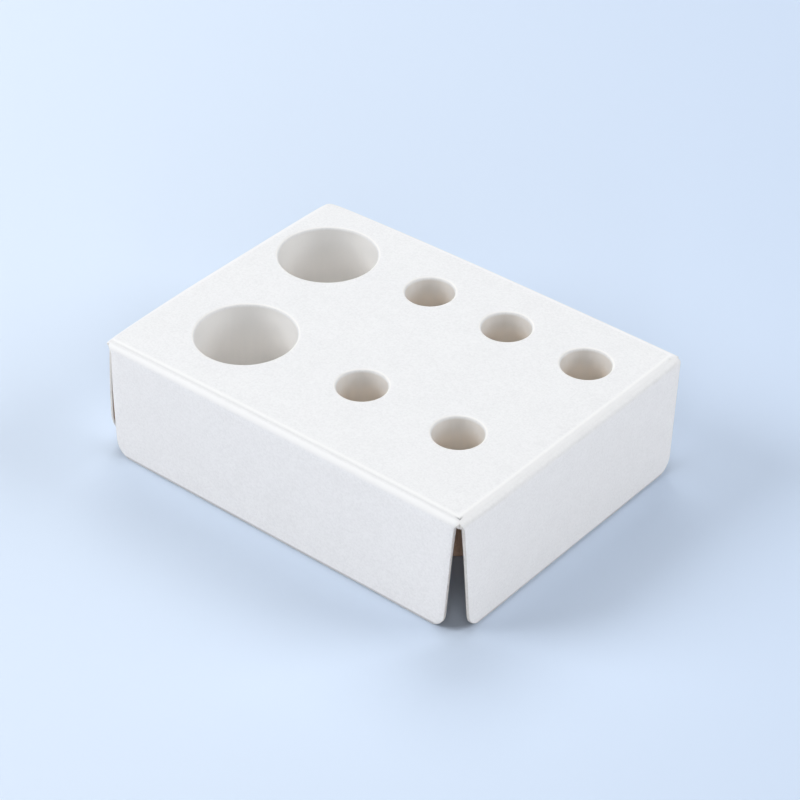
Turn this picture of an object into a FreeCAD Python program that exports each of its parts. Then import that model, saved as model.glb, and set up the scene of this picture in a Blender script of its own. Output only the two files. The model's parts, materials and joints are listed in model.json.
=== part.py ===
import FreeCAD, Part
import os
import Sketcher

# Moulded pulp packaging insert: one pressed fibre sheet. The top panel is creased along its four sides and
# folded down into four free flaps, and seven round wells are drawn down out of it as closed cups.
# Millimetres, +Z up, origin under the middle of the panel at the level of the flaps' feet.
# +X runs along the panel's length, and the row with three small wells lies on the +Y side.

sizes = {
    "panelLength": 200.0,        # over the two short flaps
    "panelWidth": 152.0,         # over the two long flaps
    "overallHeight": 58.0,
    "sheetThickness": 1.4,
    "foldRadius": 3.0,           # outside of the bend from the panel into a flap, and where two folds meet
    "creaseSetback": 0.6,        # end of the bend to the middle of the crease line
    "creaseWidth": 1.0,
    "creaseDepth": 0.35,
    "longInsetTop": 4.1,         # end of a long flap short of the corner, at the fold
    "longInsetFoot": 7.9,        # and at its foot
    "shortInsetTop": 2.5,
    "shortInsetFoot": 6.1,
    "slitTopRadius": 2.2,
    "flapCornerRadius": 8.0,
    "largeWell": 45.0,           # clear diameter
    "smallWell": 22.0,
    "rimLip": 2.0,               # reach of the rim's curve, out over the panel and down the wall
    "floorBevel": 2.5,           # inside, between a well's wall and its floor
    "cupClearance": 0.4,         # cups' undersides above the flaps' feet
    "backLeftMargin": 8.1,       # side of the panel to the nearest well wall, along the row
    "backRightMargin": 18.3,
    "frontLeftMargin": 22.2,
    "frontRightMargin": 29.2,
    "largeBackMargin": 14.3,     # side of the panel to a well wall, across the row
    "smallBackMargin": 19.9,
    "largeFrontMargin": 22.2,
    "smallFrontMargin": 37.0,
}
# small wells of each row, from its large one towards +X
rows = {"back": ("Left", "Middle", "Right"), "front": ("Left", "Right")}
cutOverlap = 5.0                 # how far a cutting profile runs past the sheet
tolerance = 1e-4

os.makedirs("parts", exist_ok=True)
doc = FreeCAD.newDocument("pulpInsert")
sheet = doc.addObject("Spreadsheet::Sheet", "Sizes")
for line, (alias, value) in enumerate(sizes.items(), start=1):
    sheet.set(f"A{line}", alias)
    sheet.set(f"B{line}", str(value))
    sheet.setAlias(f"B{line}", alias)
doc.recompute()

body = doc.addObject("PartDesign::Body", "pulp_insert")
body.Label = "pulp_insert"


def worth(expression):
    return float(body.evalExpression(expression))


def originPlane(role):
    return next(feature for feature in body.Origin.OriginFeatures if feature.Role == role)


def newSketch(name, role, **offsets):
    # a sketch on one of the body's own planes, moved by expressions along the sketch's own x, y or z
    sketch = body.newObject("Sketcher::SketchObject", name)
    sketch.AttachmentSupport = [(originPlane(role), "")]
    sketch.MapMode = "FlatFace"
    for axis, expression in offsets.items():
        sketch.setExpression(f"AttachmentOffset.Base.{axis}", expression)
    return sketch


def bind(sketch, constraint, name, expression):
    sketch.renameConstraint(sketch.addConstraint(constraint), name)
    sketch.setExpression(f"Constraints.{name}", expression)


def placePoint(sketch, name, geometry, point, x=None, y=None):
    # ties a point of the sketch to the sketch's origin
    if x:
        bind(sketch, Sketcher.Constraint("DistanceX", -1, 1, geometry, point, worth(x)), f"{name}X", x)
    if y:
        bind(sketch, Sketcher.Constraint("DistanceY", -1, 1, geometry, point, worth(y)), f"{name}Y", y)


def drawOutline(sketch, corners, curved=None):
    # a closed outline whose corners are each tied to the sketch's origin by an x and a y expression;
    # the side named curved leaves its first corner upright and reaches the next one level
    names = list(corners)
    points = [FreeCAD.Vector(worth(x), worth(y), 0) for x, y in corners.values()]
    sides = []
    for i, start in enumerate(points):
        end = points[(i + 1) % len(points)]
        side = Part.LineSegment(start, end)
        if names[i] == curved:
            side = Part.BSplineCurve()
            side.buildFromPoles([start, FreeCAD.Vector(start.x, end.y, 0), end], False, 2)
        sides.append(sketch.addGeometry(side, False))
    for i, side in enumerate(sides):
        sketch.addConstraint(Sketcher.Constraint("Coincident", side, 2, sides[(i + 1) % len(sides)], 1))
        placePoint(sketch, names[i], side, 1, *corners[names[i]])
    if curved:
        i = names.index(curved)
        after = corners[names[i + 1]]
        poles = ((corners[curved][0], corners[curved][1]), (corners[curved][0], after[1]), after)
        knobs = []
        for x, y in poles:
            knob = Part.Circle(FreeCAD.Vector(worth(x), worth(y), 0), FreeCAD.Vector(0, 0, 1), 1.0)
            knobs.append(sketch.addGeometry(knob, True))
        sketch.addConstraint(Sketcher.Constraint("Weight", knobs[0], 1.0))
        for pole, knob in enumerate(knobs):
            if pole:
                sketch.addConstraint(Sketcher.Constraint("Equal", knobs[0], knob))
            sketch.addConstraint(Sketcher.Constraint("InternalAlignment:Sketcher::BSplineControlPoint",
                                                     knob, 3, sides[i], pole))
        placePoint(sketch, f"{curved}Pole", knobs[1], 3, *poles[1])


def centredRectangle(sketch, width, depth):
    halves = (("left", "-", "-"), ("front", "", "-"), ("right", "", ""), ("back", "-", ""))
    drawOutline(sketch, {name: (f"{x}({width}) / 2", f"{y}({depth}) / 2") for name, x, y in halves})


def feature(kind, name, profile=None, adds=True, **settings):
    # text in the settings is an expression; a feature that adds or takes away nothing is an error
    doc.recompute()
    before = body.Shape.Volume if body.Shape.Solids else 0.0
    made = body.newObject(f"PartDesign::{kind}", name)
    if profile:
        made.Profile = profile
    for key, value in settings.items():
        if key in ("Length", "Radius", "Value"):
            made.setExpression(key, value)
        else:
            setattr(made, key, value)
    body.Tip = made
    doc.recompute()
    if profile and (body.Shape.Volume > before) != adds:
        raise RuntimeError(f"{name} points the wrong way")
    return made


def roundOver(name, wanted, radius):
    base = body.Tip
    edges = [f"Edge{i}" for i, edge in enumerate(base.Shape.Edges, start=1) if wanted(edge.BoundBox)]
    feature("Fillet", name, Base=(base, edges), Radius=radius)


def isUpright(box):
    return box.XLength < tolerance and box.YLength < tolerance


def isLevelAt(box, height):
    return abs(box.ZMin - height) < tolerance and abs(box.ZMax - height) < tolerance


# --- Blank folded into a hat: top panel and four flaps, still joined at the corners ---

underside = "Sizes.overallHeight - Sizes.sheetThickness"
outerPlan = newSketch("outerPlan", "XY_Plane")
centredRectangle(outerPlan, "Sizes.panelLength", "Sizes.panelWidth")
feature("Pad", "hatBlock", outerPlan, Length="Sizes.overallHeight")
roundOver("hatCorners", isUpright, "Sizes.foldRadius")
roundOver("foldOutsides", lambda box: isLevelAt(box, sizes["overallHeight"]), "Sizes.foldRadius")

block = body.Tip
bottom = [f"Face{i}" for i, face in enumerate(block.Shape.Faces, start=1) if isLevelAt(face.BoundBox, 0)]
feature("Thickness", "hat", Base=(block, bottom), Value="Sizes.sheetThickness", Reversed=True)

# --- Wells: each row shares what its length leaves, as equal gaps ---

wells = {}
for row, places in rows.items():
    count = len(places)
    leftEnd = f"(Sizes.{row}LeftMargin - Sizes.panelLength / 2)"
    gap = (f"(Sizes.panelLength - Sizes.{row}LeftMargin - Sizes.{row}RightMargin"
           f" - Sizes.largeWell - {count} * Sizes.smallWell) / {count}")
    across = {size: f"{'' if row == 'back' else '-'}(Sizes.panelWidth / 2"
                    f" - Sizes.{size}{row.capitalize()}Margin - Sizes.{size}Well / 2)"
              for size in ("large", "small")}
    wells[f"{row}Large"] = ("largeWell", f"{leftEnd} + Sizes.largeWell / 2", across["large"])
    for i, place in enumerate(places):
        along = f"{leftEnd} + Sizes.largeWell + {i + 1} * {gap} + ({i} + 1 / 2) * Sizes.smallWell"
        wells[f"{row}Small{place}"] = ("smallWell", along, across["small"])

openings = newSketch("wellOpenings", "XY_Plane", z="Sizes.overallHeight")
for well, (size, along, across) in wells.items():
    centre = FreeCAD.Vector(worth(along), worth(across), 0)
    radius = worth(f"Sizes.{size} / 2 + Sizes.rimLip")
    circle = openings.addGeometry(Part.Circle(centre, FreeCAD.Vector(0, 0, 1), radius), False)
    placePoint(openings, well, circle, 3, along, across)
    bind(openings, Sketcher.Constraint("Radius", circle, radius), f"{well}Radius",
         f"Sizes.{size} / 2 + Sizes.rimLip")
feature("Pocket", "wellHoles", openings, adds=False, Length="Sizes.sheetThickness")

# a bevel under a bend keeps the sheet's thickness when its flat is one thickness from the bend's middle
rimBevel = "(Sizes.rimLip / 2 - (2 - sqrt(2)) * Sizes.sheetThickness)"
footBevel = "(Sizes.floorBevel + (2 - sqrt(2)) * Sizes.sheetThickness)"
floor = "(Sizes.cupClearance + Sizes.sheetThickness)"
for well, (size, along, across) in wells.items():
    wall = f"Sizes.{size} / 2"
    cup = newSketch(f"{well}Profile", "XZ_Plane", x=along, z=f"-({across})")
    drawOutline(cup, {
        "floorMiddle": ("0", floor),
        "floorEdge": (f"{wall} - Sizes.floorBevel", floor),
        "wallFoot": (wall, f"{floor} + Sizes.floorBevel"),
        "wallTop": (wall, "Sizes.overallHeight - Sizes.rimLip"),
        "rim": (f"{wall} + Sizes.rimLip", "Sizes.overallHeight"),
        "rimUnder": (f"{wall} + Sizes.rimLip", underside),
        "collarOuter": (f"{wall} + Sizes.sheetThickness + {rimBevel}", underside),
        "collarLower": (f"{wall} + Sizes.sheetThickness", f"{underside} - {rimBevel}"),
        "cupFoot": (f"{wall} + Sizes.sheetThickness", f"Sizes.cupClearance + {footBevel}"),
        "cupEdge": (f"{wall} + Sizes.sheetThickness - {footBevel}", "Sizes.cupClearance"),
        "cupMiddle": ("0", "Sizes.cupClearance"),
    }, curved="wallTop")
    feature("Revolution", well, cup, ReferenceAxis=(cup, ["V_Axis"]))

# --- Crease line: a shallow V pressed along the four folds ---

creaseInset = "(Sizes.foldRadius + Sizes.creaseSetback)"
creasePath = newSketch("creasePath", "XY_Plane", z="Sizes.overallHeight")
centredRectangle(creasePath, f"Sizes.panelLength - 2 * {creaseInset}",
                 f"Sizes.panelWidth - 2 * {creaseInset}")
creaseMiddle = f"({creaseInset} - Sizes.panelWidth / 2)"
aboveTop = "Sizes.overallHeight + Sizes.creaseDepth"
creaseSection = newSketch("creaseSection", "YZ_Plane")
drawOutline(creaseSection, {
    "near": (f"{creaseMiddle} - Sizes.creaseWidth", aboveTop),
    "far": (f"{creaseMiddle} + Sizes.creaseWidth", aboveTop),
    "bottom": (creaseMiddle, "Sizes.overallHeight - Sizes.creaseDepth"),
})
feature("SubtractivePipe", "creaseLine", creaseSection, adds=False, Spine=(creasePath, []),
        Transition="Right corner")


# --- Slits: what is cut away between the tapered ends of neighbouring flaps ---

def flapEnd(sketch, name, side, half, insetTop, insetFoot):
    # the profile beside one end of a flap, from the slit's arched top to the flap's rounded foot
    reach = sizes[half] / 2
    top = worth(underside)
    radius = sizes["flapCornerRadius"]
    arch = sizes["slitTopRadius"]
    high = reach - sizes[insetTop]
    low = reach - sizes[insetFoot]
    outside = reach + cutOverlap
    bend = 0.3                   # middle of a quarter bend, as a share of its radius from each side
    ends = [(outside, top), (high + arch, top), (high, top - arch), (low, radius), (low - radius, 0),
            (low - radius, -cutOverlap), (outside, -cutOverlap)]
    bends = {1: (high + bend * arch, top - bend * arch), 3: (low - bend * radius, bend * radius)}
    points = [FreeCAD.Vector(side * x, y, 0) for x, y in ends]
    shapes = []
    for i, point in enumerate(points):
        after = points[(i + 1) % len(points)]
        if i in bends:
            middle = FreeCAD.Vector(side * bends[i][0], bends[i][1], 0)
            shapes.append(Part.Arc(point, middle, after))
        else:
            shapes.append(Part.LineSegment(point, after))
    roof, archArc, edge, footArc, drop, base, outer = sketch.addGeometry(shapes, False)

    # an arc runs anticlockwise in the sketch, so which of its ends is which depends on the side
    archFrom, archTo = (1, 2) if sketch.getPoint(archArc, 1).isEqual(points[1], tolerance) else (2, 1)
    footFrom, footTo = (1, 2) if sketch.getPoint(footArc, 1).isEqual(points[3], tolerance) else (2, 1)
    sketch.addConstraint([
        Sketcher.Constraint("Tangent", roof, 2, archArc, archFrom),
        Sketcher.Constraint("Tangent", archArc, archTo, edge, 1),
        Sketcher.Constraint("Tangent", edge, 2, footArc, footFrom),
        Sketcher.Constraint("Coincident", footArc, footTo, drop, 1),
        Sketcher.Constraint("Coincident", drop, 2, base, 1),
        Sketcher.Constraint("Coincident", base, 2, outer, 1),
        Sketcher.Constraint("Coincident", outer, 2, roof, 1),
        Sketcher.Constraint("Horizontal", roof),
        Sketcher.Constraint("Vertical", drop),
        Sketcher.Constraint("Horizontal", base),
        Sketcher.Constraint("Vertical", outer),
        Sketcher.Constraint("Vertical", footArc, 3, drop, 1),
        Sketcher.Constraint("PointOnObject", drop, 1, -1),
    ])
    bind(sketch, Sketcher.Constraint("Radius", archArc, arch), f"{name}Arch", "Sizes.slitTopRadius")
    bind(sketch, Sketcher.Constraint("Radius", footArc, radius), f"{name}Foot", "Sizes.flapCornerRadius")
    sign = "" if side > 0 else "-"
    placePoint(sketch, f"{name}Outer", roof, 1, f"{sign}(Sizes.{half} / 2 + {cutOverlap})", underside)
    placePoint(sketch, f"{name}Base", base, 1, y=f"-{cutOverlap}")
    for end, inset, level in (("Top", insetTop, underside), ("Low", insetFoot, "0")):
        place = f"{sign}(Sizes.{half} / 2 - Sizes.{inset})"
        mark = sketch.addGeometry(Part.Point(FreeCAD.Vector(worth(place), worth(level), 0)), True)
        sketch.addConstraint(Sketcher.Constraint("PointOnObject", mark, 1, edge))
        placePoint(sketch, f"{name}{end}", mark, 1, place, level)


def slitPair(name, plane, half, otherHalf, insetTop, insetFoot, depth):
    # both ends of one flap, then the same again on the flap opposite
    sketch = newSketch(f"{name}Plan", plane, z=f"Sizes.{otherHalf} / 2")
    flapEnd(sketch, "right", 1, half, insetTop, insetFoot)
    flapEnd(sketch, "left", -1, half, insetTop, insetFoot)
    pocket = feature("Pocket", f"{name}Ends", sketch, adds=False, Length=f"Sizes.{depth}")
    before = body.Shape.Volume
    feature("Mirrored", f"{name}EndsOpposite", Originals=[pocket], MirrorPlane=(originPlane(plane), [""]))
    if body.Shape.Volume >= before:
        raise RuntimeError(f"{name} is cut on one side only")


slitPair("longFlap", "XZ_Plane", "panelLength", "panelWidth", "longInsetTop", "longInsetFoot",
         depth="shortInsetTop")
slitPair("shortFlap", "YZ_Plane", "panelWidth", "panelLength", "shortInsetTop", "shortInsetFoot",
         depth="longInsetTop")

for item in doc.Objects:
    if "Invalid" in item.State or "Error" in item.State:
        raise RuntimeError(f"{item.Name} failed: {item.State}")
if body.Shape.isNull() or not body.Shape.isValid():
    raise RuntimeError("pulp_insert has no valid shape")
print("solids", len(body.Shape.Solids), "volume", body.Shape.Volume, body.Shape.BoundBox)
body.Shape.exportStep("parts/pulp_insert.step")
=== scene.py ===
import json
import math
import bpy
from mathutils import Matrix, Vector, noise
from mathutils.geometry import delaunay_2d_cdt


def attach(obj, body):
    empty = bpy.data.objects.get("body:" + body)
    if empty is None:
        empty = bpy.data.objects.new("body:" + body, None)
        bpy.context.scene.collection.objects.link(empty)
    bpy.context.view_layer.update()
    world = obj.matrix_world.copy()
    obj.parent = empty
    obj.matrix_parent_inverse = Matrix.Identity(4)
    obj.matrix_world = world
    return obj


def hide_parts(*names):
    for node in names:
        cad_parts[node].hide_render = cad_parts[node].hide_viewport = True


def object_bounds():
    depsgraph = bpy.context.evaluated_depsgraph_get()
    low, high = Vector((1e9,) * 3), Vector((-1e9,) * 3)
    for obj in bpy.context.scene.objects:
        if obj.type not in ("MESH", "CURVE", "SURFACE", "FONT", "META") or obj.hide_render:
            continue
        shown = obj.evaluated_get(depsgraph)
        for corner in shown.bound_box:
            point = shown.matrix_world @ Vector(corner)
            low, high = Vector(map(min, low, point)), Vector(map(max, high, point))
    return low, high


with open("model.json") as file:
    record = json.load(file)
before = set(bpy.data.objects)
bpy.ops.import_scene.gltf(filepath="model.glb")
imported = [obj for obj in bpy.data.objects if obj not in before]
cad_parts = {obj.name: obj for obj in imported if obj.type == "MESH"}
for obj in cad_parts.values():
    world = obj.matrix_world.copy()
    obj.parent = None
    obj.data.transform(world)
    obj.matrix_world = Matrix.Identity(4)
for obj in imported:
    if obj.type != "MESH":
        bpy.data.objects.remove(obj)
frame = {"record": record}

# A moulded pulp packaging insert: one white-faced fibre sheet, brown on its back, folded down on four
# sides and drawn into seven round wells. Lengths are in metres, the insert stands on z = 0, and the two
# large wells are at the -X end.

cadLow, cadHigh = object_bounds()
mm = 0.001
hair = 0.01 * mm
up = Vector((0, 0, 1))
round45 = math.sqrt(0.5)

# the sheet, and how its folds are shaped
sheet = dict(
    thickness=1.4 * mm,
    foldReach=3.0 * mm,          # from the top's flat to a flap's face
    foldTop=(1.6, 3.2),          # near and far folds where they leave the top, and all where they meet the
    foldFace=3.6,                # face: 2 is a plain circle, less bends early and more is a tighter turn
    foldRows=11,
    flapRows=12,
    footLift=(0.7 * mm, 1.05 * mm),      # of the front and right flaps, a hair off the ground
    arrisRadius=0.25 * mm,       # softened corners of the cut edges
    gridStep=4.0 * mm,
    gridMargin=7.0 * mm,         # from the flaps' faces to the panel's own points
)

# the crease pressed beside each fold; the bright band next to it is a painted highlight on the white face;
# insets are from the flap's face
crease = dict(
    inset=4.4 * mm,
    depth=0.2 * mm,
    sideStrength=(1, 1, 0.1, 0.1),       # front, right, back and left
    halfWidth=0.75 * mm,
    crossingPit=0.35 * mm,       # extra depth where two creases cross
    crossingWidth=0.45 * mm,
    rows=(5.75, 5.5, 5.25, 5.05, 4.85, 4.65, 4.5, 4.35, 4.2, 4.0, 3.8, 3.6, 3.4, 3.2),      # in millimetres
)

# the flaps' free edges, in millimetres: how far each stops short of its corner at the fold and at the foot,
# and the radius of its lower corners, at the start and end of the front, right, back and left flap in turn
flaps = dict(
    insetTop=((5.4, 3.7), (2.1, 2.5), (4.1, 4.1), (2.5, 4.6)),
    insetFoot=((7.0, 8.8), (6.6, 6.1), (7.9, 7.9), (6.1, 3.6)),
    footRadius=((8, 8), (8, 8), (8, 8), (8, 17)),
)

# the slits between them end in a pointed round arch on the corner
slit = dict(
    archTop=0.12 * mm,           # below the top face
    springLevel=4.0 * mm,        # where the arch's sides start, below the top face
    flapShare=0.6,               # part of the arch's height that belongs to the flaps
    flapLevels=(0.48, 0.36, 0.24, 0.12, 0),      # and the rows of points there
    archSteps=5,                 # points on half an arch, and on a corner's turn
    turnSteps=6,
    closest=0.3 * mm,            # that two of them may be
    backDrop=1.5 * mm,           # the corner is deeper inside the arch
    pileUp=0.45,                 # and the sheet thicker round it, as a share
    pileReach=9.0 * mm,
)

# how far the sheet strays from its true form, always inwards
waviness = dict(
    swell=0.16 * mm,
    swellSize=55 * mm,
    cornerDroop=0.5 * mm,
    cornerGather=3,              # the higher, the nearer to the corner it stays
    tipDroop=1.6 * mm,           # of the two left corners' very tips
    tipGather=30,
    rightDroop=1.5 * mm,         # of the fold along the right side, most at its middle
    rightGather=6,
    rightBow=4,
    cornerPull=dict(front=(1.5 * mm, 0.6 * mm), back=(0.1 * mm, -1.5 * mm)),     # of the left corners' tops
    pullGather=2,
    topGather=3,                 # the droop on the right and the pulls stay near the top
    footReach=12 * mm,           # up from the ground, for the lift of the feet
    footGather=12,
    footWave=20 * mm,            # length and strength of the unevenness in it
    footUneven=0.5,
    footShare=0.85,
)

length, width, top = cadHigh
thickness = sheet["thickness"]
bend = sheet["foldReach"]
quarter = bend * math.pi / 2
bendLevel = top - bend
springLevel = top - slit["springLevel"]
archRise = slit["springLevel"] - slit["archTop"]
flapTop = springLevel + slit["flapShare"] * archRise

# the sides in walking order: direction along, direction outwards, half length of the straight fold,
# distance out to its start, half length with the corners
sides = [
    (Vector((1, 0, 0)), Vector((0, -1, 0)), length - bend, width - bend, length),
    (Vector((0, 1, 0)), Vector((1, 0, 0)), width - bend, length - bend, width),
    (Vector((-1, 0, 0)), Vector((0, 1, 0)), length - bend, width - bend, length),
    (Vector((0, -1, 0)), Vector((-1, 0, 0)), width - bend, length - bend, width),
]


def dome(distance, reach):
    return math.exp(-(distance / reach) ** 2)


def slant(number, end, z):
    # a flap's straight free edge: its distance from the side's middle
    insetTop, insetFoot = flaps["insetTop"][number][end] * mm, flaps["insetFoot"][number][end] * mm
    share = z / (top - thickness)
    return sides[number][4] - insetFoot + (insetFoot - insetTop) * share - sheet["arrisRadius"]


# slit arches, one at each side's end: middle and half width, measured round the corner's turn
arches = []
for number in range(4):
    following = (number + 1) % 4
    first = slant(number, 1, springLevel) - sides[number][2]
    second = quarter + sides[following][2] - slant(following, 0, springLevel)
    arches.append(((first + second) / 2, (second - first) / 2))
archShare = math.sqrt(1 - slit["flapShare"] ** 2)


def flapReach(number, end, z):
    # the free edge with its arch above and its rounded corner below
    foot = flaps["footRadius"][number][end] * mm
    if z > springLevel:
        half, height = arches[number if end else number - 1][1], (z - springLevel) / archRise
        return slant(number, end, springLevel) + half * (1 - math.sqrt(1 - height ** 2))
    if z < foot:
        return slant(number, end, foot) - foot + math.sqrt(foot ** 2 - (foot - z) ** 2)
    return slant(number, end, z)


def onFold(number, along, z):
    # point and outward normal on the fold, the flap below it and the rounded corner beyond its ends
    direction, out, halfAlong, halfOut = sides[number][:4]
    turn = min(max(abs(along) - halfAlong, 0) / bend, math.pi / 2)
    sign = 1 if along > 0 else -1
    heading = direction * (sign * math.sin(turn)) + out * math.cos(turn)
    near, far = sheet["foldTop"]
    topPower = near + (far - near) * min(max(heading.y - heading.x, 0), 1)
    facePower = sheet["foldFace"]
    lift = max(z - bendLevel, 0) / bend
    lean = max(1 - lift ** facePower, 0) ** (1 / topPower)
    place = direction * (sign * min(abs(along), halfAlong)) + out * halfOut + heading * (bend * lean)
    normal = heading * (topPower * lean ** (topPower - 1)) + up * (facePower * lift ** (facePower - 1))
    return place + up * z, normal


def thicknessAt(place):
    away = Vector((length - abs(place.x), width - abs(place.y), top - place.z)).length
    return thickness * (1 + slit["pileUp"] * dome(away, slit["pileReach"]))


class Skin:
    # the white side of the sheet, with a point on its back for each of its own
    def __init__(self):
        self.points, self.normals, self.backs, self.faces, self.finishes = [], [], [], [], []

    def point(self, place, normal, back=None):
        place, normal = Vector(place), Vector(normal).normalized()
        self.points.append(place)
        self.normals.append(normal)
        self.backs.append(Vector(back) if back else place - normal * thicknessAt(place))
        return len(self.points) - 1

    def face(self, corners, finish):
        corners = [c for i, c in enumerate(corners) if c != corners[i - 1]]
        if len(corners) > 2:
            self.faces.append(corners)
            self.finishes.append(finish)

    def bridge(self, upper, lower, finish, closed=False):
        for i in range(len(upper) if closed else len(upper) - 1):
            j = (i + 1) % len(upper)
            self.face([upper[i], lower[i], lower[j], upper[j]], finish)


skin = Skin()
whiteFace, largeWell, smallWell, brownBack, cutEdge = range(5)

# columns of points round the panel: side, place along it, and level at which the ring ends there
columns = []
archSteps, turnSteps = slit["archSteps"], slit["turnSteps"]
for number, side in enumerate(sides):
    following = (number + 1) % 4
    nextSide = sides[following]
    start = -min(side[2], flapReach(number, 0, flapTop))
    end = min(side[2], flapReach(number, 1, flapTop))
    count = round((end - start) / sheet["gridStep"])
    columns += [(number, start + (end - start) * i / count, flapTop) for i in range(count + 1)]
    middle, half = arches[number]
    turns = [middle + half * archShare * i / archSteps for i in range(-archSteps, archSteps + 1)]
    fillers = [0, quarter] + [quarter * i / turnSteps for i in range(1, turnSteps)]
    turns += [f for f in fillers if all(abs(f - t) > slit["closest"] for t in turns)]
    last = quarter + nextSide[2] - min(nextSide[2], flapReach(following, 0, flapTop))
    for turn in sorted(turns):
        if end - side[2] + hair < turn < last - hair:
            across = 1 - ((turn - middle) / half) ** 2
            level = max(flapTop, springLevel + archRise * math.sqrt(max(across, 0)))
            if turn > quarter:
                columns.append((following, turn - quarter - nextSide[2], level))
            else:
                columns.append((number, side[2] + turn, level))


def creaseHeight(inset):
    return -crease["depth"] * dome(inset - crease["inset"], crease["halfWidth"])


ring = []
for inset in [row * mm for row in crease["rows"]] + [bend]:
    row, cornerPoints = [], {}
    for number, along, level in columns:
        direction, out, halfAlong, halfOut = sides[number][:4]
        corner = number if along > 0 else (number - 1) % 4
        strength = crease["sideStrength"][number]
        z = top + (strength * creaseHeight(inset) if inset != bend else 0)
        inTurn = abs(along) > halfAlong - 0.1 * hair
        if inTurn and corner in cornerPoints:        # a corner's columns share one point here
            row.append(cornerPoints[corner])
            continue
        if inTurn:
            pit = strength * crease["crossingPit"]
            z -= pit * dome(inset - crease["inset"], crease["crossingWidth"])
            along = math.copysign(halfAlong, along)
        place = direction * (along / halfAlong * (halfAlong + bend - inset))
        row.append(skin.point(place + out * (halfOut + bend - inset) + up * z, up))
        if inTurn:
            cornerPoints[corner] = row[-1]
    ring.append(row)

foldRows = sheet["foldRows"]
for i in range(1, foldRows + 1):
    row = []
    for number, along, level in columns:
        steepest = math.acos((level - bendLevel) / bend)
        place, normal = onFold(number, along, bendLevel + bend * math.cos(steepest * i / foldRows))
        inArch = (level - flapTop) / (springLevel + archRise - flapTop)
        share = inArch * (i / foldRows) ** 3         # the arch's back turns up into the corner
        slope = (Vector((normal.x, normal.y, 0)).normalized() + up) * round45
        inwards = normal.normalized().lerp(slope, share).normalized()
        back = place - inwards * thicknessAt(place) - up * slit["backDrop"] * share
        row.append(skin.point(place, normal, back))
    ring.append(row)
for upper, lower in zip(ring, ring[1:]):
    skin.bridge(upper, lower, whiteFace, closed=True)

# flaps, hung from the ring's last row
foot = flaps["footRadius"][0][0] * mm
flapRows = sheet["flapRows"]
levels = [springLevel + archRise * share for share in slit["flapLevels"]]
levels += [springLevel - (springLevel - foot) * i / flapRows for i in range(1, flapRows + 1)]
levels += [foot * (1 - math.sin(math.radians(angle))) for angle in range(15, 90, 15)]    # round the corners
levels.append(sheet["arrisRadius"])
elsewhere = 9                # stands for a column of another flap
for number, side in enumerate(sides):
    alongs = []
    for owner, along, level in columns:
        if owner == (number - 1) % 4 and along > 0:
            along -= sides[owner][2] + quarter + side[2]
        elif owner != number:
            along = elsewhere
        alongs.append(along)
    startReach, endReach = flapReach(number, 0, flapTop), flapReach(number, 1, flapTop)
    first = min(range(len(alongs)), key=lambda i: abs(alongs[i] + startReach))
    last = min(range(len(alongs)), key=lambda i: abs(alongs[i] - endReach))
    members = list(range(first, last + 1))
    if first > last:                                 # this flap holds the ring's first column
        members = list(range(first, len(alongs))) + list(range(last + 1))
    upper = [ring[-1][i] for i in members]
    for z in levels:
        lower = []
        for i in members:
            end = 1 if alongs[i] > 0 else 0
            share = flapReach(number, end, z) / (endReach if end else startReach)
            lower.append(skin.point(*onFold(number, alongs[i] * share, z)))
        skin.bridge(upper, lower, whiteFace)
        upper = lower
print("folds and flaps:", len(skin.points), "points")

# the drawn wells
well = dict(
    rimLip=1.8 * mm,             # reach of the rims' curve, and of the same curve on the back
    backLip=0.4 * mm,
    rimFlat=0.4 * mm,            # round the rims, where the points still follow them
    floorBend=2.5 * mm,          # inside, from the wall to the floor
    cupClearance=0.4 * mm,       # under the floor
    largeFrom=15 * mm,           # radius from which a well is a large one
    largeTurn=96,                # points round it
    smallTurn=64,
    rimRows=10,
    wallRows=13,
    bendRows=6,
    floorRings=(0.78, 0.54, 0.3, 0.12),
)

wells = [(Vector(mount["pos_m"][:2]), mount["dims"]["r_mm"] * mm)
         for mount in frame["record"]["mounts"] if mount["kind"] == "bore"]

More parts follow.
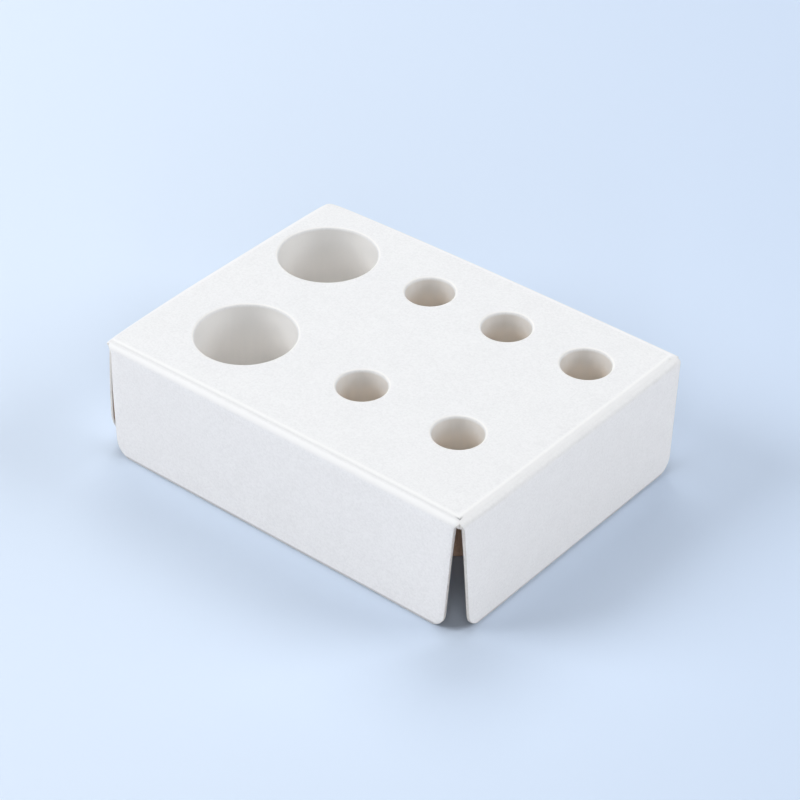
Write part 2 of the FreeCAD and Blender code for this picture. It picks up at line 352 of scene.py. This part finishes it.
# rim, wall, floor bend and floor, turned about each axis
rims = []
lip, backLip, rimFlat, floorBend = well["rimLip"], well["backLip"], well["rimFlat"], well["floorBend"]
rimRows, wallRows, bendRows = well["rimRows"], well["wallRows"], well["bendRows"]
floorTop = well["cupClearance"] + thickness
wallTop, wallFoot = top - lip, floorTop + floorBend
for centre, radius in wells:
    isLarge = radius > well["largeFrom"]
    turnCount = well["largeTurn"] if isLarge else well["smallTurn"]
    wellFace = largeWell if isLarge else smallWell
    profile = []             # radius, height, normal inwards and up, radius and height on the back
    for away in (rimFlat, rimFlat / 2):
        profile.append((radius + lip + away, top, 0, 1, radius + lip + away, top - thickness))
    for i in range(rimRows + 1):
        share = i / rimRows
        face = (radius + lip * (1 - share) ** 2, top - lip * share ** 2, share, 1 - share)
        backFace = (radius + thickness + backLip * (1 - share) ** 2, top - thickness - backLip * share ** 2)
        profile.append(face + backFace)
    for i in range(1, wallRows + 1):
        z = wallTop + (wallFoot - wallTop) * i / wallRows
        profile.append((radius, z, 1, 0, radius + thickness, z))
    for i in range(1, bendRows + 1):
        angle = math.pi / 2 / bendRows * i
        inward, lift = math.cos(angle), math.sin(angle)
        away, z = radius - floorBend * (1 - inward), wallFoot - floorBend * lift
        profile.append((away, z, inward, lift, away + thickness * inward, z - thickness * lift))
    for share in well["floorRings"]:
        away = (radius - floorBend) * share
        profile.append((away, floorTop, 0, 1, away, floorTop - thickness))
    rows = []
    axis = centre.to_3d()
    for away, z, inward, lift, backAway, backLevel in profile:
        row = []
        for i in range(turnCount):
            angle = -2 * math.pi * i / turnCount
            heading = Vector((math.cos(angle), math.sin(angle), 0))
            back = axis + heading * backAway + up * backLevel
            row.append(skin.point(axis + heading * away + up * z, up * lift - heading * inward, back))
        rows.append(row)
    for i, (upper, lower) in enumerate(zip(rows, rows[1:])):
        skin.bridge(upper, lower, whiteFace if i < 2 else wellFace, closed=True)
    skin.face(rows[-1][::-1], wellFace)
    rims.append(rows[0])
print("wells:", len(wells), "with", len(skin.points), "points in all")

# the flat panel between the crease and the rims
frameLoop = []
for index in ring[0]:
    if index not in frameLoop[-1:] + frameLoop[:1]:
        frameLoop.append(index)
panelPoints, joined, borders = [], [], []
for loop in [frameLoop] + rims:
    start = len(panelPoints)
    panelPoints += [skin.points[index].xy for index in loop]
    joined += loop
    borders += [(start + i, start + (i + 1) % len(loop)) for i in range(len(loop))]
step = sheet["gridStep"]
rimReach = lip + rimFlat
edgeX, edgeY = length - sheet["gridMargin"], width - sheet["gridMargin"]
rowCount = int(2 * edgeY / (step * math.sqrt(3) / 2))
for r in range(rowCount + 1):
    y = edgeY * (2 * r / rowCount - 1)
    x = -edgeX + (r % 2) * step / 2
    while x < edgeX:
        if all((Vector((x, y)) - centre).length > radius + rimReach + 0.5 * step for centre, radius in wells):
            panelPoints.append(Vector((x, y)))
        x += step
found, _, triangles, origins, _, _ = delaunay_2d_cdt(panelPoints, borders, [], 0, 1e-7)
placed = []
for place, origin in zip(found, origins):
    old = [o for o in origin if o < len(joined)]
    placed.append(joined[old[0]] if old else skin.point(place.to_3d() + up * top, up))
for triangle in triangles:
    middle = sum((found[i] for i in triangle), Vector((0, 0))) / 3
    if all((middle - centre).length > (radius + rimReach) * 0.9995 for centre, radius in wells):
        a, b, c = (found[i] for i in triangle)
        corners = [placed[i] for i in triangle]
        skin.face(corners[::-1] if (b - a).cross(c - a) < 0 else corners, whiteFace)
print("panel:", len(triangles), "triangles")


# a pulp sheet is never quite flat or straight
def stray(place, normal):
    acrossX, acrossY, height = place.x / length, place.y / width, max(place.z / top, 0)
    toLeft, nearTop = max(-acrossX, 0), height ** waviness["topGather"]
    swell = (1 + noise.noise(place / waviness["swellSize"])) / 2
    shift = normal * (-waviness["swell"] * swell)
    toCorner = (abs(acrossX) * abs(acrossY)) ** waviness["cornerGather"]
    toTip = (toLeft * abs(acrossY)) ** waviness["tipGather"]
    bow = max(acrossX, 0) ** waviness["rightGather"] * (1 - min(abs(acrossY), 1) ** waviness["rightBow"])
    shift.z -= waviness["cornerDroop"] * toCorner * height
    shift.z -= waviness["tipDroop"] * toTip * height
    shift.z -= waviness["rightDroop"] * bow * nearTop
    for end, nearness in (("front", -acrossY), ("back", acrossY)):
        gather = (toLeft * max(nearness, 0)) ** waviness["pullGather"]
        shift += Vector(waviness["cornerPull"][end]).to_3d() * (gather * nearTop)
    lifts = zip(sheet["footLift"], (-acrossY, acrossX))
    lift = max(most * max(nearness, 0) ** waviness["footGather"] for most, nearness in lifts)
    uneven = waviness["footShare"] + waviness["footUneven"] * noise.noise(place / waviness["footWave"])
    shift.z += lift * dome(place.z, waviness["footReach"]) * uneven
    return shift


for i, place in enumerate(skin.points):
    shift = stray(place, skin.normals[i])
    skin.points[i] = place + shift
    skin.backs[i] += shift

# the back, and the cut edge between the two
count = len(skin.points)
meshPoints = skin.points + skin.backs
meshFaces = skin.faces + [[index + count for index in reversed(face)] for face in skin.faces]
finishes = skin.finishes + [brownBack] * len(skin.faces)
used = {}
for face in skin.faces:
    for i, a in enumerate(face):
        used[(face[i - 1], a)] = True
free = {a: b for a, b in used if (b, a) not in used}
outline = [next(iter(free))]
while free[outline[-1]] != outline[0]:
    outline.append(free[outline[-1]])
print("cut edge:", len(outline), "of", len(free), "free edges")
arris = sheet["arrisRadius"]
strips = []
for i, index in enumerate(outline):
    front, back, normal = skin.points[index], skin.backs[index], skin.normals[index]
    along = skin.points[outline[(i + 1) % len(outline)]] - skin.points[outline[i - 1]]
    away = along.cross(normal).normalized() * arris
    inward = (back - front).normalized() * arris
    strip = [index]
    for base, sign in ((front, 1), (back, -1)):
        curve = [base + away * round45 + inward * sign * (1 - round45), base + away + inward * sign]
        for place in curve if sign == 1 else curve[::-1]:
            meshPoints.append(place)
            strip.append(len(meshPoints) - 1)
    strips.append(strip + [index + count])
for i, strip in enumerate(strips):
    following = strips[(i + 1) % len(strips)]
    for j in range(len(strip) - 1):
        meshFaces.append([strip[j], strip[j + 1], following[j + 1], following[j]])
        finishes.append(cutEdge)


# materials
class Socket:
    # a node's output, on which ordinary sums add Math nodes
    def __init__(self, shader, socket):
        self.shader, self.socket = shader, socket

    def math(self, operation, other, swapped=False):
        pair = (other, self) if swapped else (self, other)
        return self.shader.node("ShaderNodeMath", dict(operation=operation), {0: pair[0], 1: pair[1]})

    def __add__(self, other):
        return self.math("ADD", other)

    def __radd__(self, other):
        return self.math("ADD", other, True)

    def __sub__(self, other):
        return self.math("SUBTRACT", other)

    def __rsub__(self, other):
        return self.math("SUBTRACT", other, True)

    def __mul__(self, other):
        return self.math("MULTIPLY", other)

    def __rmul__(self, other):
        return self.math("MULTIPLY", other, True)

    def squared(self):
        return self.math("MULTIPLY", self)

    def smaller(self, other):
        return self.math("MINIMUM", other)

    def exponent(self):
        return self.shader.node("ShaderNodeMath", dict(operation="EXPONENT"), {0: self})


class Shader:
    # the nodes of one material or world
    def __init__(self, owner, surface="Principled BSDF"):
        owner.use_nodes = True
        self.owner = owner
        self.nodes, self.links = owner.node_tree.nodes, owner.node_tree.links
        self.surface = self.nodes[surface]

    def node(self, kind, settings=None, inputs=None, output=0):
        made = self.nodes.new(kind)
        for name, value in (settings or {}).items():
            setattr(made, name, value)
        for name, value in (inputs or {}).items():
            self.feed(made.inputs[name], value)
        return Socket(self, made.outputs[output])

    def feed(self, target, value):
        if isinstance(value, Socket):
            self.links.new(value.socket, target)
        elif isinstance(value, tuple) and target.type == "RGBA":
            target.default_value = (*value, 1)
        else:
            target.default_value = value

    def finish(self, inputs):
        for name, value in inputs.items():
            self.feed(self.surface.inputs[name], value)
        return self.owner

    def place(self):
        return self.node("ShaderNodeTexCoord", output="Object")

    def part(self, vector, axis):
        return self.node("ShaderNodeSeparateXYZ", None, {0: vector}, axis)

    def noise(self, place, size, detail=3, roughness=0.55):
        inputs = dict(Vector=place, Scale=1 / size, Detail=detail, Roughness=roughness)
        return self.node("ShaderNodeTexNoise", dict(noise_dimensions="3D"), inputs)

    def streaks(self, place, size, squeeze):
        # noise drawn out upwards
        drawnOut = self.node("ShaderNodeVectorMath", dict(operation="MULTIPLY"),
                             {0: place, 1: (1, 1, squeeze)})
        return self.noise(drawnOut, size, 3, 0.6)

    def ramp(self, value, low, high):
        return self.node("ShaderNodeMapRange", dict(interpolation_type="SMOOTHSTEP"),
                         {"Value": value, "From Min": low, "From Max": high})

    def blend(self, share, first, second):
        return self.node("ShaderNodeMix", dict(data_type="RGBA"), {0: share, 6: first, 7: second}, 2)

    def bump(self, height, strength, distance):
        return self.node("ShaderNodeBump", None,
                         {"Height": height, "Strength": strength, "Distance": distance})


def newShader(name):
    return Shader(bpy.data.materials.new(name))


# the white fibre that the face and the wells share
fibreFinish = dict(
    white=(0.862, 0.87, 0.882),
    whiteThin=(0.786, 0.793, 0.806),     # where fibres lie thin
    cloudSize=9 * mm,
    tuftSize=1.7 * mm,
    fibreSize=0.9 * mm,
    shares=(0.15, 0.25, 0.6),            # of cloud, tuft and fibre
    contrast=(0.32, 0.65),               # nearer together is stronger
    roughness=0.82,
    bump=0.5,
    grainDepth=0.05 * mm,
)


def whiteTone(shader, place):
    # cloudy fibre face: its colour, and the fibre height for the bump
    cloud = shader.noise(place, fibreFinish["cloudSize"])
    fibre = shader.noise(place, fibreFinish["fibreSize"], 4, 0.6)
    tuft = shader.noise(place, fibreFinish["tuftSize"])
    ofCloud, ofTuft, ofFibre = fibreFinish["shares"]
    share = shader.ramp(ofCloud * cloud + ofTuft * tuft + ofFibre * fibre, *fibreFinish["contrast"])
    return shader.blend(share, fibreFinish["whiteThin"], fibreFinish["white"]), fibre


# painted highlights and shade on the white face; depths are below the top, insets from the nearest flap's
# face
faceFinish = dict(
    onTop=(3.4 * mm, 2.4 * mm),          # depth at which the crease's painted shade and highlight start and are full
    # middle and reach of each inset band, its strength and colour: a painted highlight beside the creases,
    # painted shade in them and on the right's bend
    paintedRidgeHighlight=(5.6 * mm, 0.8 * mm, 0.9, (0.9, 0.905, 0.91)),
    paintedCreaseShade=(4.1 * mm, 0.75 * mm, 0.6, (0.76, 0.765, 0.775)),
    paintedRightBendShade=(3.3 * mm, 1.1 * mm, 0.8, (0.76, 0.765, 0.775)),
    paintedCrossingShade=(0.3, 0.3, 0.31),           # painted shade where the creases cross at the front corner
    crossingReach=0.75 * mm,
    crossingShape=(1.8, 0.5),            # squeezed across the creases and drawn out along them
    paintedBendHighlight=(0.88, 0.887, 0.9),         # painted highlight on the bends, except on the right
    paintedBendHighlightDepth=(2.2 * mm, 0.8 * mm),
    paintedBendHighlightInset=(3.2 * mm, 2.2 * mm),
    paintedBendHighlightRight=(2.5 * mm, 5.5 * mm),
    paintedFootShadow=(0.38, 0.38, 0.385),       # painted shadow low on the flaps, for the dark line where they meet the ground
    paintedFootShadowLevel=(2.3 * mm, 0.9 * mm),
    paintedFootShadowShare=(0.55, 0.5),          # that is even, and that follows the fibres
    grainSize=0.35 * mm,
    fibreShine=0.1,                      # how much smoother the raised fibres are
    specular=0.3,
)


def makeWhite():
    shader = newShader("white_fibre_face")
    place = shader.place()
    colour, fibre = whiteTone(shader, place)
    x, y, z = (shader.part(place, axis) for axis in "XYZ")
    # painted shade in the creases at the front and on the right and on the right's bend, and a painted
    # highlight on the sheet beside the creases
    toRight, toFront = length - x, width + y
    inset = toRight.smaller(toFront)
    onTop = shader.ramp(z, *(top - depth for depth in faceFinish["onTop"]))
    for name, distance in (("paintedRidgeHighlight", inset), ("paintedCreaseShade", inset), ("paintedRightBendShade", toRight)):
        middle, reach, most, tint = faceFinish[name]
        band = (-1 * ((distance - middle) * (1 / reach)).squared()).exponent()
        colour = shader.blend(onTop * most * band, colour, tint)
    # a dash of painted shade where the two creases cross
    across, along = faceFinish["crossingShape"]
    toCrossing = (across * (inset - crease["inset"])).squared() + (along * (toRight - toFront)).squared()
    crossingShadeMask = onTop * (-1 / faceFinish["crossingReach"] ** 2 * toCrossing).exponent()
    colour = shader.blend(crossingShadeMask, colour, faceFinish["paintedCrossingShade"])
    # a painted highlight on the bends, left off on the right
    edge = inset.smaller(length + x).smaller(width - y)
    paintedBendHighlight = shader.ramp(z, *(top - depth for depth in faceFinish["paintedBendHighlightDepth"]))
    paintedBendHighlight = paintedBendHighlight * shader.ramp(edge, *faceFinish["paintedBendHighlightInset"])
    paintedBendHighlight = paintedBendHighlight * shader.ramp(toRight, *faceFinish["paintedBendHighlightRight"])
    colour = shader.blend(paintedBendHighlight, colour, faceFinish["paintedBendHighlight"])
    # painted shadow low on the flaps, where they meet the ground
    even, byFibre = faceFinish["paintedFootShadowShare"]
    footShadowMask = shader.ramp(z, *faceFinish["paintedFootShadowLevel"]) * (even + byFibre * fibre)
    colour = shader.blend(footShadowMask, colour, faceFinish["paintedFootShadow"])
    grain = shader.noise(place, faceFinish["grainSize"], 2)
    return shader.finish({
        "Base Color": colour,
        "Roughness": fibreFinish["roughness"] - faceFinish["fibreShine"] * fibre,
        "Specular IOR Level": faceFinish["specular"],
        "Normal": shader.bump(0.7 * fibre + 0.3 * grain, fibreFinish["bump"], fibreFinish["grainDepth"])})


# the wells: a painted highlight on the rims, painted shade on the walls just below them, and painted bounce
# light, warmer and lighter, further down
wellFinish = dict(
    # painted highlight on the rims' curve
    paintedRimHighlight=(0.93, 0.928, 0.92),
    paintedRimHighlightSlope=(1, 0.93, 0.8, 0.6),     # how much the rim faces up where this starts, is full, and ends
    paintedRimShadeDepth=(0.7 * mm, 2.2 * mm),
    # painted shade under the rim, painted bounce light further down, and the depths at which that starts and
    # is full
    large=((0.82, 0.815, 0.805), (0.93, 0.908, 0.882), (5 * mm, 24 * mm)),
    small=((0.73, 0.705, 0.675), (0.87, 0.795, 0.715), (4 * mm, 13 * mm)),
    tintShares=(0.5, 0.5, 0.3),          # that are even, and that follow the streaks and the fibres
    streakSize=2.4 * mm,
    squeeze=0.12,                        # the smaller, the longer the streaks
    streakMatt=0.05,                     # how much rougher they are
    specular=0.25,
)


def makeWell(name, size):
    shader = newShader(name)
    paintedRimShade, paintedBounceLight, bounceLightDepth = wellFinish[size]
    place = shader.place()
    colour, fibre = whiteTone(shader, place)
    level = shader.part(place, "Z")
    lift = shader.part(shader.node("ShaderNodeNewGeometry", output="Normal"), "Z")
    streak = shader.streaks(place, wellFinish["streakSize"], wellFinish["squeeze"])
    even, byStreak, byFibre = wellFinish["tintShares"]
    uneven = even + byStreak * streak + byFibre * fibre
    # a painted highlight where the rim curves over
    start, full, stillFull, end = wellFinish["paintedRimHighlightSlope"]
    paintedRimHighlight = shader.ramp(lift, start, full) * shader.ramp(lift, end, stillFull)
    colour = shader.blend(paintedRimHighlight, colour, wellFinish["paintedRimHighlight"])
    # painted shade just under the rim, and painted bounce light further down
    for depths, tint in ((wellFinish["paintedRimShadeDepth"], paintedRimShade), (bounceLightDepth, paintedBounceLight)):
        colour = shader.blend(shader.ramp(level, *(top - depth for depth in depths)) * uneven, colour, tint)
    return shader.finish({
        "Base Color": colour,
        "Roughness": fibreFinish["roughness"] + wellFinish["streakMatt"] * streak,
        "Specular IOR Level": wellFinish["specular"],
        "Normal": shader.bump(0.6 * fibre + 0.4 * streak, fibreFinish["bump"], fibreFinish["grainDepth"])})


# the bare brown fibre of the back
brownFinish = dict(
    brown=(0.45, 0.295, 0.22),
    brownLight=(0.66, 0.465, 0.355),
    contrast=(0.34, 0.68),
    streakSize=1.6 * mm,
    squeeze=0.14,
    fibreSize=0.8 * mm,
    roughness=0.9,
    fibreShine=0.08,
    specular=0.2,
    bump=0.5,
    grainDepth=0.075 * mm,
)


def makeBrown():
    shader = newShader("brown_fibre_back")
    place = shader.place()
    streak = shader.streaks(place, brownFinish["streakSize"], brownFinish["squeeze"])
    fibre = shader.noise(place, brownFinish["fibreSize"], 4, 0.65)
    share = shader.ramp(0.55 * streak + 0.45 * fibre, *brownFinish["contrast"])
    return shader.finish({
        "Base Color": shader.blend(share, brownFinish["brown"], brownFinish["brownLight"]),
        "Roughness": brownFinish["roughness"] - brownFinish["fibreShine"] * fibre,
        "Specular IOR Level": brownFinish["specular"],
        "Normal": shader.bump(0.5 * fibre + 0.5 * streak, brownFinish["bump"], brownFinish["grainDepth"])})


# the sheet's cut edge
cutFinish = dict(
    cut=(0.8, 0.79, 0.78),
    cutDark=(0.62, 0.6, 0.58),
    contrast=(0.3, 0.7),
    plySize=0.5 * mm,
    cloudSize=5 * mm,
    roughness=0.88,
    plyMatt=0.06,
    specular=0.2,
    bump=0.6,
    grainDepth=0.1 * mm,
)


def makeCut():
    shader = newShader("cut_fibre_edge")
    place = shader.place()
    ply = shader.noise(place, cutFinish["plySize"], 4, 0.7)
    cloud = shader.noise(place, cutFinish["cloudSize"], 2)
    share = shader.ramp(0.6 * ply + 0.4 * cloud, *cutFinish["contrast"])
    return shader.finish({
        "Base Color": shader.blend(share, cutFinish["cutDark"], cutFinish["cut"]),
        "Roughness": cutFinish["roughness"] + cutFinish["plyMatt"] * ply,
        "Specular IOR Level": cutFinish["specular"],
        "Normal": shader.bump(ply, cutFinish["bump"], cutFinish["grainDepth"])})


def addObject(name, data):
    made = bpy.data.objects.new(name, data)
    bpy.context.scene.collection.objects.link(made)
    return made


mesh = bpy.data.meshes.new("pulp_sheet")
mesh.from_pydata(meshPoints, [], meshFaces)
mesh.materials.append(makeWhite())
mesh.materials.append(makeWell("white_fibre_large_well", "large"))
mesh.materials.append(makeWell("white_fibre_small_well", "small"))
mesh.materials.append(makeBrown())
mesh.materials.append(makeCut())
mesh.polygons.foreach_set("material_index", finishes)
mesh.polygons.foreach_set("use_smooth", [True] * len(mesh.polygons))
mesh.validate()
mesh.update()
insert = addObject("pulp_sheet", mesh)
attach(insert, "root")
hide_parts("pulp_insert")
print("sheet:", len(mesh.polygons), "faces")

# floor, light and camera
stage = dict(
    floorLeft=(0.715, 0.815, 0.95),
    floorRight=(0.6, 0.71, 0.88),
    floorBounce=(0.74, 0.76, 0.82),      # what the floor throws back on the insert
    floorHeading=(0.77, 0.64, 0),        # from left to right
    floorChange=(-0.35, 0.4),            # where along it the colour starts and ends to change
    cloudSize=0.4,
    cloudShift=0.05,                     # how far its clouds move that
    floorRoughness=0.7,
    floorSpecular=0.1,
    floorReach=6.0,
    fade=(1.2, 2.6),                     # from the middle, where the floor gives way to the backdrop
    backdrop=(0.7, 0.81, 0.96),
    lampAway=3.45,
    # compass turn from -Y towards +X, height angle, size and power of each lamp
    lamps=dict(
        left=(310, 33.5, 2.1, 73.5),
        right=(130, 30, 2.1, 57.0),
        back=(220, 50, 2.1, 41.5),
        backLeft=(265, 50, 2.1, 13.5),
        front=(40, 30, 2.1, 23.4),
        overhead=(40, 50, 2.1, 12.4),
        intoSlit=(40, 12, 0.6, 9.5),
    ),
)


def makeFloor():
    shader = newShader("pale_floor")
    place = shader.place()
    across = shader.node("ShaderNodeVectorMath", dict(operation="DOT_PRODUCT"),
                         {0: place, 1: stage["floorHeading"]}, "Value")
    cloud = shader.noise(place, stage["cloudSize"], 2)
    share = shader.ramp(across + stage["cloudShift"] * cloud, *stage["floorChange"])
    toCamera = shader.node("ShaderNodeLightPath", output="Is Camera Ray")
    toGloss = shader.node("ShaderNodeLightPath", output="Is Glossy Ray")
    colour = shader.blend(share, stage["floorLeft"], stage["floorRight"])
    shader.finish({"Base Color": shader.blend(toCamera + toGloss, stage["floorBounce"], colour),
                   "Roughness": stage["floorRoughness"], "Specular IOR Level": stage["floorSpecular"]})
    # the floor is see-through from below, and far out
    away = shader.node("ShaderNodeVectorMath", dict(operation="LENGTH"), {0: place}, "Value")
    under = shader.node("ShaderNodeNewGeometry", output="Backfacing")
    share = (under + shader.ramp(away, *stage["fade"])).smaller(1) * toCamera
    matt = Socket(shader, shader.surface.outputs["BSDF"])
    clear = shader.node("ShaderNodeBsdfTransparent")
    mixed = shader.node("ShaderNodeMixShader", None, {0: share, 1: matt, 2: clear})
    shader.feed(shader.nodes["Material Output"].inputs["Surface"], mixed)
    return shader.owner


reach = stage["floorReach"]
floorMesh = bpy.data.meshes.new("floor")
floorMesh.from_pydata([(-reach, -reach, 0), (reach, -reach, 0), (reach, reach, 0), (-reach, reach, 0)],
                      [], [(0, 1, 2, 3)])
floorMesh.materials.append(makeFloor())
addObject("floor", floorMesh)


def addLamp(name, turn, height, size, power):
    lamp = bpy.data.lights.new(name, "AREA")
    lamp.shape = "DISK"
    lamp.size = size
    lamp.energy = power
    turn, height = math.radians(turn), math.radians(height)
    level = Vector((math.sin(turn), -math.cos(turn), 0))
    heading = level * math.cos(height) + up * math.sin(height)
    holder = addObject(name, lamp)
    holder.location = heading * stage["lampAway"]
    holder.rotation_euler = heading.to_track_quat("Z", "Y").to_euler()


for name, values in stage["lamps"].items():
    addLamp(name, *values)

# the world only shows behind the floor's edge, and lights nothing
backdrop = Shader(bpy.data.worlds.new("studio"), "Background")
shown = (backdrop.node("ShaderNodeLightPath", output="Is Camera Ray")
         + backdrop.node("ShaderNodeLightPath", output="Is Glossy Ray"))
bpy.context.scene.world = backdrop.finish({"Color": stage["backdrop"], "Strength": shown})

lens = dict(
    focal=122.1,
    sensorWidth=36,
    azimuth=39.8345,
    elevation=36.0013,
    place=(0.6132, -0.7287, 0.7227),
    clipEnd=20,
)
camera = bpy.data.cameras.new("camera")
camera.lens = lens["focal"]
camera.sensor_width = lens["sensorWidth"]
camera.clip_end = lens["clipEnd"]
viewer = addObject("camera", camera)
viewer.location = lens["place"]
viewer.rotation_euler = (math.radians(90 - lens["elevation"]), 0, math.radians(lens["azimuth"]))
bpy.context.scene.camera = viewer
bpy.context.scene.view_settings.view_transform = "Standard"
print("stage, lamps and camera")
